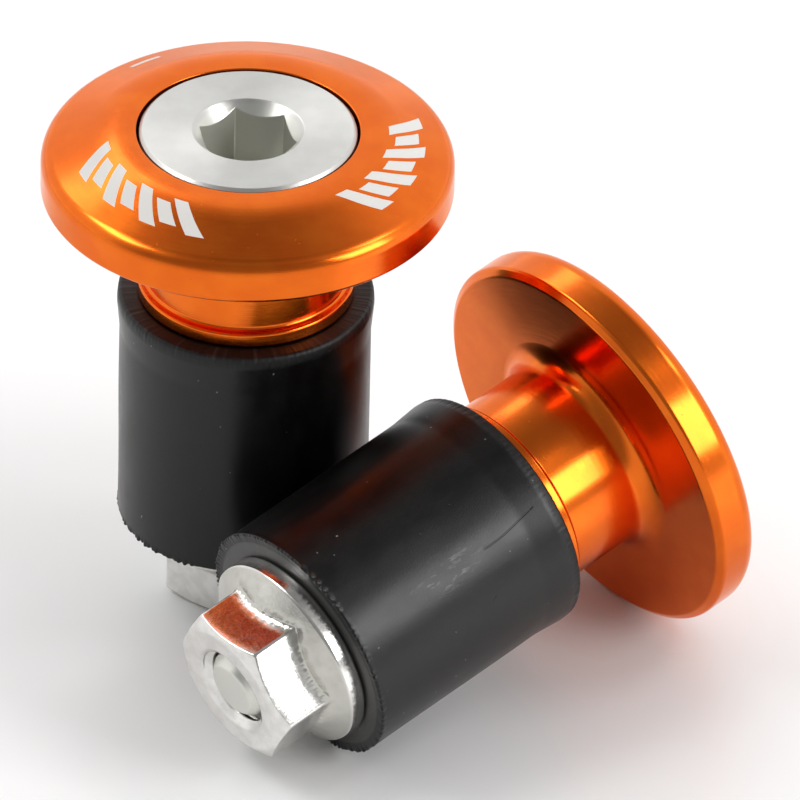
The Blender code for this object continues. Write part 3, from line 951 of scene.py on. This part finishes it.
# %% [markdown]
# ## Bright zinc
#
# The nut is a forging plated with zinc: bright, but its reflections are broken by the forging's dents,
# and its cone is painted darker, a painted shade in place of the dark reflection it shows. A smooth
# mirror would look like chrome. The dents could be pushed into the mesh, but they are too shallow to
# change its outline, so three layers of bump do it.

# %% Mix the zinc finish
ZINC = (0.70, 0.69, 0.66)
PALE_ZINC = (0.80, 0.79, 0.765)
PAINTED_CONE_SHADE = (0.46, 0.45, 0.40)


def bright_zinc(name, prefix):
    """Zinc that varies slightly, painted darker on the cone as painted shade, with broad dents, fine grain
    and long scratches.
    """
    mix = Recipe(name, prefix)
    uneven = mix.noise(mix.point, 1.1, 3.0)
    grain = mix.noise(mix.point, 7.0, 3.0)
    long_way = mix.combine(mix.times(mix.radius, 9.0), mix.level, mix.angle)
    scratched = mix.noise(long_way, 2.0, 2.0)
    colour = mix.blend(mix.between(uneven, 0.35, 0.65), ZINC, PALE_ZINC)
    # Painted shade: the cone is painted darker in place of the dark reflection it shows.
    cone = mix.between(mix.level, NUT_BASE - 3.0, NUT_BASE - 2.75)
    cone = mix.times(cone, mix.between(mix.level, NUT_BASE - 1.2, NUT_BASE - 1.4))
    painted_shade = mix.times(cone, mix.between(uneven, 0.25, 0.75, 0.5, 0.9))
    mix.set(Base_Color=mix.blend(painted_shade, colour, PAINTED_CONE_SHADE), Metallic=1.0)
    mix.set(Roughness=mix.between(grain, 0.3, 0.7, 0.14, 0.22))
    mix.bump([(uneven, 0.16, 0.12), (grain, 0.12, 0.03), (scratched, 0.1, 0.02)])
    return mix.material


print("zinc", ZINC, "and", PAINTED_CONE_SHADE, "on the cone")

# %% [markdown]
# ## A finish on each piece
#
# Both plugs are made of the same four things. One material could serve two pieces, but a recipe counts
# radius and angle from one plug's axis, so each piece gets its own. The slot's name says what a piece is
# made of and is the same on both plugs.

# %% Give each piece its finish
FINISHES = {
    "end_cap": orange_anodised,
    "cap_screw": satin_silver,
    "rubber_bung": black_rubber,
    "flange_nut": bright_zinc,
}
for (prefix, node), piece in pieces.items():
    piece.data.materials.append(FINISHES[node](f"{prefix}_{SLOTS[node]}", prefix))
print("finishes:", sorted(m.name for m in bpy.data.materials if m.name.startswith(("standing", "lying"))))

# %% [markdown]
# ## The floor
#
# The plugs stand on a pale sheet with a slight sheen, wide enough to fill the view. A white background
# with nothing below them would be simpler, but then they would float. The sheet gives them a soft shadow
# and reflects a little light onto their undersides.

# %% Lay the floor
FLOOR_HALF = 3.0          # metres


def floor():
    """One square face at height 0, which is where the packed model stands."""
    mesh = bpy.data.meshes.new("floor")
    corners = [(-1, -1), (1, -1), (1, 1), (-1, 1)]
    mesh.from_pydata([(x * FLOOR_HALF, y * FLOOR_HALF, 0) for x, y in corners], [], [(0, 1, 2, 3)])
    sheet = bpy.data.objects.new("floor", mesh)
    bpy.context.scene.collection.objects.link(sheet)
    paper = bpy.data.materials.new("floor_paper")
    paper.use_nodes = True
    shader = paper.node_tree.nodes["Principled BSDF"]
    shader.inputs["Base Color"].default_value = (0.86, 0.86, 0.86, 1.0)
    shader.inputs["Roughness"].default_value = 0.35
    shader.inputs["Specular IOR Level"].default_value = 0.5
    mesh.materials.append(paper)


floor()
print("floor", 2 * FLOOR_HALF, "m wide")

# %% [markdown]
# ## The lights
#
# Small turned parts are lit with soft boxes, whose reflections draw the bright streaks along each rim. A
# large key box stands low on the right with a smaller one above it, a long one hangs high on the left and
# a weak one behind. A broad box overhead lights the floor and isn't reflected. A sun would be simpler,
# but its reflection is a point. A box is given by how bright it looks, so it can be resized without
# changing that.

# %% Hang the soft boxes
middle = (Vector(cad_box[0]) + Vector(cad_box[1])) / 2
BOX_DISTANCE = 0.6


def soft_box(name, azimuth, elevation, wide, tall, brightness):
    """An area light on a sphere round the object, facing it. Azimuth 0 is on the camera's side, turning
    right. Its power is brightness * pi * area, so brightness is how white its reflection looks."""
    a, e = math.radians(azimuth), math.radians(elevation)
    away = Vector((math.sin(a) * math.cos(e), -math.cos(a) * math.cos(e), math.sin(e)))
    lamp = bpy.data.lights.new(name, "AREA")
    lamp.shape = "RECTANGLE"
    lamp.size, lamp.size_y = wide, tall
    lamp.energy = brightness * math.pi * wide * tall
    box = bpy.data.objects.new(name, lamp)
    box.location = middle + away * BOX_DISTANCE
    box.rotation_euler = away.to_track_quat("Z", "Y").to_euler()
    box.visible_camera = False
    bpy.context.scene.collection.objects.link(box)
    print(name, "gives", round(lamp.energy, 2), "W")
    return box


soft_box("key_box", 66, 25, 0.28, 0.30, 7.0)
soft_box("right_box", 92, 50, 0.16, 0.14, 4.5)
soft_box("left_box", -100, 52, 0.32, 0.14, 6.5)
soft_box("back_box", -150, 42, 0.30, 0.14, 2.2)
soft_box("floor_box", 180, 80, 0.9, 0.9, 0.30).visible_glossy = False

# %% [markdown]
# ## The surroundings
#
# Metal shows what stands round it. Here that is a bright sweep behind the plugs and dark cloth in front of
# them, both darker overhead, so every curved face runs from pale to dark. A picture of a studio would do the
# same but would be one more file. Two ramps over height are enough.

# %% Set the surroundings
BACK = (
    (0.0, 1.3), (0.1, 1.15), (0.2, 1.05), (0.6, 1.02), (0.74, 1.0), (0.81, 0.82), (0.87, 0.5), (0.95, 0.33),
    (1.0, 0.22),
)
FRONT = ((0.0, 0.75), (0.1, 0.46), (0.2, 0.34), (0.8, 0.29), (0.92, 0.31), (1.0, 0.22))
ALL_FRONT = -0.60         # a direction that points this far to the front sees only the front's ramp


def ramp(sky, height, stops):
    """A grey for each height, on straight lines between the stops (height, grey)."""
    node = sky.add("ValToRGB", Fac=height)
    elements = node.color_ramp.elements
    elements[0].position, elements[1].position = stops[0][0], stops[-1][0]
    for position, _ in stops[1:-1]:
        elements.new(position)
    for element, (_, grey) in zip(elements, stops):
        element.color = (grey, grey, grey, 1.0)
    return node.outputs["Color"]


def surroundings():
    """The front's ramp and the back's, mixed by how far back a direction points."""
    world = bpy.data.worlds.new("studio")
    world.use_nodes = True
    sky = Nodes(world.node_tree)
    direction = sky.add("TexCoord").outputs["Generated"]
    _, depth, height = sky.add("SeparateXYZ", Vector=direction).outputs
    back, front = ramp(sky, height, BACK), ramp(sky, height, FRONT)
    grey = sky.blend(sky.between(depth, ALL_FRONT, 0.0), front, back)
    sky.fill(sky.tree.nodes["Background"], Color=grey, Strength=1.0)
    bpy.context.scene.world = world


surroundings()
print("at the horizon the back is", BACK[0][1], "and the front", FRONT[0][1])

# %% [markdown]
# ## The camera
#
# The pair is seen from in front and above, down a slope of about 35 degrees, from far away. An
# orthographic camera would make the view exactly parallel, but a long lens at a metre looks the same and
# still lets the nearer plug be a touch larger. The camera leans a little to one side.

# %% Place the camera
ELEVATION = math.radians(34.6)
ROLL = -0.023
DISTANCE = 0.97
TARGET_RIGHT = 0.01080    # metres from the standing plug's axis
TARGET_UP = 0.01507
FOCAL_LENGTH = 630.0


def camera():
    """A long lens looking down at a point beside the standing plug, with a slight roll."""
    look = Vector((0.0, math.cos(ELEVATION), -math.sin(ELEVATION)))
    right = Vector((1.0, 0.0, 0.0))
    down = look.cross(right)
    turned_right = right * math.cos(ROLL) + down * math.sin(ROLL)
    turned_down = down * math.cos(ROLL) - right * math.sin(ROLL)
    origin = places["standing"][0]
    target = Vector((origin[0] + TARGET_RIGHT, origin[1], TARGET_UP))
    lens = bpy.data.cameras.new("camera")
    lens.lens = FOCAL_LENGTH
    lens.sensor_width = 36.0
    lens.clip_end = 20.0
    eye = bpy.data.objects.new("camera", lens)
    turn = Matrix((turned_right, -turned_down, -look)).transposed().to_4x4()
    eye.matrix_world = Matrix.Translation(target - look * DISTANCE) @ turn
    bpy.context.scene.collection.objects.link(eye)
    bpy.context.scene.camera = eye
    return eye


print("camera at", [round(v, 3) for v in camera().matrix_world.translation])
bpy.context.scene.view_settings.view_transform = "Standard"

# %% [markdown]
# ## Record the sizes
#
# The skins have to lie inside the packed model's box, or the pair would be a different size with its
# looks on. The packed model's box is printed.

# %% Record the sizes and finish
print("CAD box", [round(v * 1000, 2) for corner in cad_box for v in corner])
